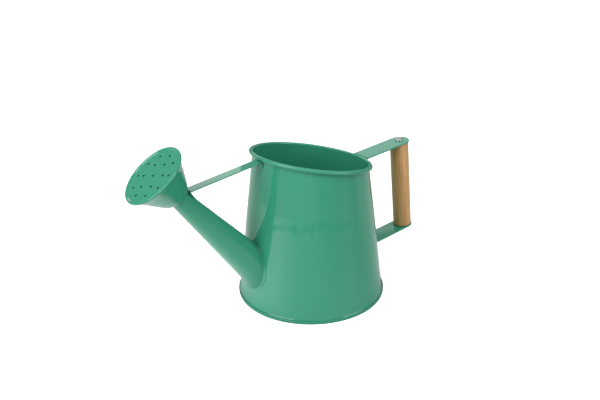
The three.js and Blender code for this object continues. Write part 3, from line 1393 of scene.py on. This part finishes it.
@dataclass
class Rose:
    """The bell on the spout's end and its perforated face. Z runs along the spout's axis."""

    enamel: bpy.types.Material
    steps: int = 160
    # The bell, as radii and distances along the axis
    neck_length: float = 6 * MM
    neck_gap: float = 0.15 * MM
    bell_gap: float = 0.02 * MM
    bell_curve: tuple[tuple[float, float], ...] = (
        (10.2 * MM, 103.6 * MM),
        (14.4 * MM, 109.0 * MM),
        (23.0 * MM, 125.5 * MM),
        (26.75 * MM, 130.8 * MM),
    )
    bell_rows: int = 8
    bell_sheet: float = 0.72 * MM
    # The face and the roll of its rim
    face_start: float = 131.45 * MM
    face_inside: float = 20.9 * MM
    rim_radius: float = 26.66 * MM
    bead_radius: float = 1.15 * MM
    bead_end: float = 150.0
    bead_steps: int = 24
    rim_fillet: tuple[float, float] = (1.6 * MM, 0.08 * MM)
    rim_inside: float = 2.4 * MM
    # The holes: how many in each ring, the ring's radius and its first hole's angle in degrees
    rings: tuple[tuple[int, float, float], ...] = (
        (1, 0.0, 0.0),
        (6, 12.2 * MM, -9.3),
        (10, 19.8 * MM, 2.3),
    )
    hole_radius: float = 1.05 * MM
    hole_taper: float = 0.8
    hole_steps: int = 20
    drill_length: float = 4 * MM
    punched_reach: float = 22 * MM
    punched_edge: float = 0.12 * MM
    punched_angle: float = 50.0

    def bell(self) -> bpy.types.Object:
        """Builds the bell, with its neck inside the spout.

        Returns:
            The piece.
        """
        start = SPOUT.length
        neck = SPOUT.radius(start) - WALL.sheet - self.neck_gap
        hollow = neck - WALL.sheet
        root = (SPOUT.radius(start), start + self.bell_gap)
        flow = smooth_curve([root, *self.bell_curve], self.bell_rows)
        inside = [(r - self.bell_sheet, s) for r, s in reversed(flow[1:])]
        profile = [(hollow, start - self.neck_length), (neck, start - self.neck_length)]
        profile += [(neck, start), *flow, *inside, (hollow, start)]
        work = skin(turned(profile, self.steps, SPOUT.frame()), closed=True)
        return add_piece("rose_bell", work, self.enamel, ["rose_back"])

    def _drills(self, front: float) -> bmesh.types.BMesh:
        """The tapered drills of all the holes, wider towards the inside.

        Args:
            front: Where the face's front lies along the axis.

        Returns:
            The drills, as one mesh.
        """
        drills = bmesh.new()
        for count, radius, start in self.rings:
            for i in range(count):
                angle = math.radians(start + 360 * i / count)
                place = (radius * math.cos(angle), radius * math.sin(angle), front)
                bmesh.ops.create_cone(
                    drills,
                    cap_ends=True,
                    segments=self.hole_steps,
                    radius1=self.hole_radius * (1 + self.hole_taper),
                    radius2=self.hole_radius * (1 - self.hole_taper),
                    depth=self.drill_length,
                    matrix=Matrix.Translation(place),
                )
        return drills

    def face(self) -> bpy.types.Object:
        """Builds the face with its rolled rim and punched holes.

        Returns:
            The piece.
        """
        front = self.face_start + WALL.sheet
        dip = math.degrees(math.asin(WALL.sheet / self.bead_radius))
        bead = (self.rim_radius, front)
        inset, proud = self.rim_fillet
        profile = [(0, self.face_start), (self.face_inside, self.face_start)]
        profile += arc(bead, self.bead_radius, dip - 180, self.bead_end, self.bead_steps)
        profile += [(self.rim_radius - inset, front + proud)]
        profile += [(self.rim_radius - self.rim_inside, front), (0, front)]
        work = skin(turned(profile, self.steps, Matrix.Identity(4)))
        work = cut(work, self._drills(front))
        self._break_hole_edges(work, front)
        work.transform(SPOUT.frame())
        bmesh.ops.recalc_face_normals(work, faces=work.faces)
        return add_piece("rose_front", work, self.enamel, ["rose_face"], crease=30)

    def _break_hole_edges(self, work: bmesh.types.BMesh, front: float) -> None:
        """Rounds the front edge of every hole, as enamel does when it bakes.

        Args:
            work: The face's mesh, along the Z axis.
            front: Height of the face's front.
        """
        sharp = sharper_than(self.punched_angle)

        def rim(edge: bmesh.types.BMEdge) -> bool:
            """Whether an edge runs round a hole on the front.

            Args:
                edge: The edge.

            Returns:
                Whether it does.
            """
            flat = all(abs(v.co.z - front) < WELD for v in edge.verts)
            inside = all(v.co.xy.length < self.punched_reach for v in edge.verts)
            return flat and inside and sharp(edge)

        soften(work, rim, self.punched_edge, segments=2)

    def build(self) -> list[bpy.types.Object]:
        """Builds the rose's two pieces."""
        return [self.bell(), self.face()]


# ---------------------------------------------------------------- handle


@dataclass(frozen=True)
class StrapPlan:
    """Where one handle strap runs."""

    name: str
    node: str
    screw_x: float
    top: float
    slope: float
    bend: float


@dataclass
class Handle:
    """Two straps, a turned wooden grip between them, and the screws that hold it."""

    enamel: bpy.types.Material
    steel: bpy.types.Material
    # The straps
    width: float = 20 * MM
    thickness: float = 1.5 * MM
    foot: float = 17 * MM
    foot_gap: float = 0.25 * MM
    foot_corner: float = 3 * MM
    foot_reach: float = 3.2 * MM
    foot_blend: float = 1.5 * MM
    tip_short: float = 0.08 * MM
    strap_edge: float = 0.35 * MM
    bend_facets: int = 20
    upper: StrapPlan = StrapPlan(
        "upper_strap", "upper_handle_strap", 108.7 * MM, 127.7 * MM, 0.13, 6.8 * MM
    )
    lower: StrapPlan = StrapPlan(
        "lower_strap", "lower_handle_strap", 118.9 * MM, 35.4 * MM, 0.14, 3.0 * MM
    )
    # The grip
    grip_radius: float = 9.2 * MM
    grip_gap: float = 0.12 * MM
    grip_round: float = 0.8 * MM
    grip_round_steps: int = 6
    grip_steps: int = 96
    grip_rows: int = 24
    # The screws
    shank_radius: float = 1.75 * MM
    shank_end: float = 11.5 * MM
    screw_tip: float = 14 * MM
    head_radius: float = 3.9 * MM
    head_height: float = 2.4 * MM
    head_seat: float = 0.02 * MM
    head_chamfer: float = 0.2 * MM
    head_foot: float = 0.96
    head_side: float = 0.36
    dome_power: float = 0.9
    dome_step: int = 6
    screw_steps: int = 64
    recess_reach: float = 2.15 * MM
    recess_half: float = 0.5 * MM
    recess_depth: float = 1.3 * MM
    recess_floor: float = 0.5
    recess_clear: float = 0.2 * MM
    recess_turn: float = math.radians(40)
    recess_edge: float = 0.08 * MM
    recess_angle: float = 45.0

    def _ends(self) -> tuple[Vector, Vector]:
        """The ends of the grip's axis.

        Returns:
            Where it meets the lower strap's top and the upper strap's underside.
        """
        low = Vector((WALL.axis_x + self.lower.screw_x, 0, self.lower.top))
        high = Vector((WALL.axis_x + self.upper.screw_x, 0, self.upper.top - self.thickness))
        return low, high

    def lean(self) -> float:
        """The grip's lean towards +X, in radians."""
        low, high = self._ends()
        return math.atan2(high.x - low.x, high.z - low.z)

    def length(self) -> float:
        """The distance between the straps along the grip's axis."""
        low, high = self._ends()
        return (high - low).length

    def _frame(self) -> Matrix:
        """Z runs up the grip's axis from the lower strap."""
        low, _ = self._ends()
        return Matrix.Translation(low) @ Matrix.Rotation(self.lean(), 4, "Y")

    def strap(self, plan: StrapPlan) -> bpy.types.Object:
        """Builds one strap: a foot on the wall, a bend and an arm with a round end.

        Args:
            plan: Where it runs.

        Returns:
            The piece.
        """
        half = self.thickness / 2
        proud = self.foot_gap + half

        def on_wall(z: float) -> Vector:
            """The strap's middle where it lies on the wall."""
            return Vector((WALL.axis_x + WALL.radius(z) + proud, 0, z))

        end = Vector((WALL.axis_x + plan.screw_x, 0, plan.top - half))
        arm = Vector((1, 0, plan.slope))
        bend = crossing(end, arm, on_wall(0), Vector((-WALL.taper, 0, 1)))
        tip = end + arm * (self.width / 2 - self.tip_short)
        strip = BentStrip(
            [on_wall(bend.z - self.foot), bend, tip],
            [plan.bend],
            self.width,
            self.thickness,
            round_end=True,
            corner=self.foot_corner,
            edge=self.strap_edge,
            facets=self.bend_facets,
        )
        work = strip.mesh()
        self._curve_foot(work)
        return add_piece(plan.name, work, self.enamel, [plan.node])

    def _curve_foot(self, work: bmesh.types.BMesh) -> None:
        """Presses a strap's foot round the wall.

        Args:
            work: The strap's mesh.
        """
        for vertex in work.verts:
            radius = WALL.radius(vertex.co.z)
            away = vertex.co.x - WALL.axis_x - radius
            share = clamped((self.foot_reach - away) / self.foot_blend)
            drop = radius - math.sqrt(radius**2 - vertex.co.y**2)
            vertex.co.x -= drop * share

    def grip(self) -> bpy.types.Object:
        """Builds the turned grip.

        Returns:
            The piece.
        """
        start, end = self.grip_gap, self.length() - self.grip_gap
        r, e, n = self.grip_radius, self.grip_round, self.grip_round_steps
        profile = [(0, start), (r / 2, start)]
        profile += arc((r - e, start + e), e, -90, 0, n)
        profile += [(r, z) for z in between(start + e, end - e, self.grip_rows)[1:-1]]
        profile += arc((r - e, end - e), e, 0, 90, n)
        profile += [(r / 2, end), (0, end)]
        work = skin(turned(profile, self.grip_steps, self._frame()))
        wood = LacqueredWood(lean=self.lean()).material()
        return add_piece("turned_grip", work, wood, ["wooden_grip"], crease=50)

    def _screw_profile(self) -> list[tuple[float, float]]:
        """A screw's outline, with its head's seat at height 0.

        Returns:
            The outline's points, from the tip to the crown.
        """
        r, h, seat = self.head_radius, self.head_height, self.head_seat
        side = h * self.head_side
        angles = [math.radians(d) for d in range(0, 90, self.dome_step)]
        rise = [math.sin(a) ** self.dome_power for a in angles]
        dome = [(r * math.cos(a), side + (h - side) * up) for a, up in zip(angles, rise)]
        shank = [(self.shank_radius, -self.shank_end), (self.shank_radius, seat)]
        foot = [(r * self.head_foot, seat), (r, self.head_chamfer)]
        return [(0, -self.screw_tip), *shank, *foot, *dome, (0, h)]

    def screw(self, name: str, node: str, facing: Facing) -> bpy.types.Object:
        """Builds one pan-head screw with a cross recess.

        Args:
            name: The piece's name.
            node: The CAD node it stands for.
            facing: Which way its head looks.

        Returns:
            The piece.
        """
        seat = self.length() + self.thickness if facing is Facing.UP else -self.thickness
        turn = Matrix.Identity(4) if facing is Facing.UP else Matrix.Rotation(math.pi, 4, "X")
        middle = self.head_height / 2
        sharp = sharper_than(self.recess_angle)
        work = skin(turned(self._screw_profile(), self.screw_steps, Matrix.Identity(4)))
        work = cut(work, self._recess())

        def brim(edge: bmesh.types.BMEdge) -> bool:
            """Whether an edge runs round the recess at the top of the head."""
            return sharp(edge) and edge.verts[0].co.z > middle

        soften(work, brim, self.recess_edge, segments=2)
        work.transform(self._frame() @ Matrix.Translation((0, 0, seat)) @ turn)
        bmesh.ops.recalc_face_normals(work, faces=work.faces)
        return add_piece(name, work, self.steel, [node], crease=30)

    def _recess(self) -> bmesh.types.BMesh:
        """The tapered cross that is cut into a screw's head.

        Returns:
            The cross, closed, from its floor to just above the head's crown.
        """
        reach, half = self.recess_reach, self.recess_half
        arms = ((reach, -half), (reach, half), (half, half))
        outline = [
            Matrix.Rotation(math.radians(quarter), 2) @ Vector(point)
            for quarter in (0, 90, 180, 270)
            for point in arms
        ]
        floor = self.head_height - self.recess_depth
        above = self.head_height + self.recess_clear
        rings = [[Vector((0, 0, floor))]]
        for share, height in ((self.recess_floor, floor), (1.0, above)):
            rings.append([Vector((p.x * share, p.y * share, height)) for p in outline])
        rings.append([Vector((0, 0, above))])
        work = skin(rings)
        work.transform(Matrix.Rotation(self.recess_turn, 4, "Z"))
        return work

    def build(self) -> list[bpy.types.Object]:
        """Builds the handle's five pieces.

        Returns:
            The pieces.
        """
        return [
            self.strap(self.upper),
            self.strap(self.lower),
            self.grip(),
            self.screw("upper_screw", "upper_grip_screw", Facing.UP),
            self.screw("lower_screw", "lower_grip_screw", Facing.DOWN),
        ]


# ---------------------------------------------------------------- studio


@dataclass(frozen=True)
class SoftBox:
    """A soft rectangular light that looks at the can."""

    name: str
    place: tuple[float, float, float]
    size: tuple[float, float]
    power: float
    target: tuple[float, float, float] = (0.0, 0.0, 70 * MM)
    turn: float = math.radians(-34)

    def build(self) -> None:
        """Adds the light, its long side level along the turn's direction where that can be."""
        data = bpy.data.lights.new(self.name, "AREA")
        data.shape = "RECTANGLE"
        data.size, data.size_y = self.size
        data.energy = self.power
        lamp = bpy.data.objects.new(self.name, data)
        lamp.location = self.place
        aim = Vector(self.target) - Vector(self.place)
        side = Vector((math.cos(self.turn), math.sin(self.turn), 0))
        across = aim.cross(side).normalized()
        level = across.cross(aim).normalized()
        axes = Matrix((level, -across, -aim.normalized())).transposed()
        lamp.rotation_euler = axes.to_euler()
        bpy.context.scene.collection.objects.link(lamp)


@dataclass
class Studio:
    """Floor, air, lights and camera."""

    azimuth: float = STUDIO_FRONT
    elevation: float = math.radians(21.946)
    roll: float = math.radians(-0.889)
    camera_place: tuple[float, float, float] = (-0.28153, -0.42815, 0.30072)
    lens: float = 36.584
    sensor: float = 36.0
    near_clip: float = 10 * MM
    floor_half: float = 8.0
    floor_squares: int = 8
    table_height: float = -1 * MM
    air: tuple[tuple[float, Colour], ...] = (
        (0.0, grey(0.18)),
        (0.15, grey(0.20)),
        (0.42, grey(0.26)),
        (0.62, grey(0.42)),
        (1.0, grey(0.50)),
    )
    boxes: tuple[SoftBox, ...] = (
        SoftBox("key_left", (-1.05, -0.12, 0.66), (0.8, 0.8), 7.8),
        SoftBox("front_strip", (-0.3, -0.5, 1.1), (1.9, 0.2), 4.8),
        SoftBox("front_right", (0.55, -0.97, 0.5), (0.6, 0.6), 3.5),
        SoftBox("back_left", (0.18, 1.3, 0.8), (0.5, 0.5), 1.1),
        SoftBox("back_right", (0.9, 1.1, 0.655), (0.6, 0.55), 0.85),
    )

    def camera(self) -> None:
        """Adds the camera."""
        a, e, t = self.azimuth, self.elevation, self.roll
        back = Vector((math.sin(a) * math.cos(e), -math.cos(a) * math.cos(e), math.sin(e)))
        level = Vector((math.cos(a), math.sin(a), 0))
        upright = back.cross(level)
        right = level * math.cos(t) + upright * math.sin(t)
        up = upright * math.cos(t) - level * math.sin(t)
        data = bpy.data.cameras.new("camera")
        data.lens = self.lens
        data.sensor_width = self.sensor
        data.sensor_fit = "HORIZONTAL"
        data.clip_start = self.near_clip
        camera = bpy.data.objects.new("camera", data)
        turn = Matrix((right, up, back)).transposed().to_4x4()
        camera.matrix_world = Matrix.Translation(self.camera_place) @ turn
        bpy.context.scene.collection.objects.link(camera)
        bpy.context.scene.camera = camera

    def _sheet(self, name: str, height: float, finish: bpy.types.Material) -> bpy.types.Object:
        """Adds one large level sheet of the stage.

        Args:
            name: The sheet's name.
            height: Its height.
            finish: Its material.

        Returns:
            The sheet.
        """
        work = bmesh.new()
        squares, half = self.floor_squares, self.floor_half
        bmesh.ops.create_grid(work, x_segments=squares, y_segments=squares, size=half)
        bmesh.ops.translate(work, verts=work.verts, vec=(0, 0, height))
        sheet = link_mesh(name, work)
        sheet.data.materials.append(finish)
        return sheet

    def floor(self) -> None:
        """Adds the pale floor, and just under it the table that the enamel mirrors instead."""
        floor = self._sheet("floor", 0.0, PaleSweep().material())
        floor.visible_glossy = False
        floor.visible_diffuse = False
        table = self._sheet("table", self.table_height, TableGlow().material())
        table.visible_camera = False
        table.visible_shadow = False

    def sky(self) -> None:
        """Adds the air, graded where it lights the can and plain white to the camera."""
        world = bpy.data.worlds.new("air")
        tree = ShaderTree(world)
        look = tree.signal("ShaderNodeTexCoord", {}, {}, "Generated")
        height = tree.signal("ShaderNodeSeparateXYZ", {}, {"Vector": look}, "Z")
        graded = {"Color": tree.ramp(height, self.air), "Strength": 1.0}
        plain = {"Color": grey(1), "Strength": 1.0}
        seen = tree.signal("ShaderNodeLightPath", {}, {}, "Is Camera Ray")
        first, second = (tree.signal("ShaderNodeBackground", {}, x) for x in (graded, plain))
        both = tree.signal("ShaderNodeMixShader", {}, {0: seen, 1: first, 2: second})
        tree.node("ShaderNodeOutputWorld", {}, {"Surface": both})
        bpy.context.scene.world = world

    def build(self) -> None:
        """Builds the studio."""
        self.camera()
        self.floor()
        self.sky()
        for box in self.boxes:
            box.build()
        bpy.context.scene.view_settings.view_transform = "Standard"


# ---------------------------------------------------------------- main


def main() -> None:
    """Builds the studio and the can's sub-assemblies in order, and reports each piece."""
    logging.basicConfig(level=logging.INFO, format="%(name)s %(message)s")
    Studio().build()
    enamel = StovingEnamel().material()
    steel = PlatedSteel().material()
    for part in (Body(enamel, steel), Spout(enamel), Rose(enamel), Handle(enamel, steel)):
        for piece in part.build():
            LOG.info("%s: %d faces", piece.name, len(piece.data.polygons))


if __name__ == "__main__":
    main()
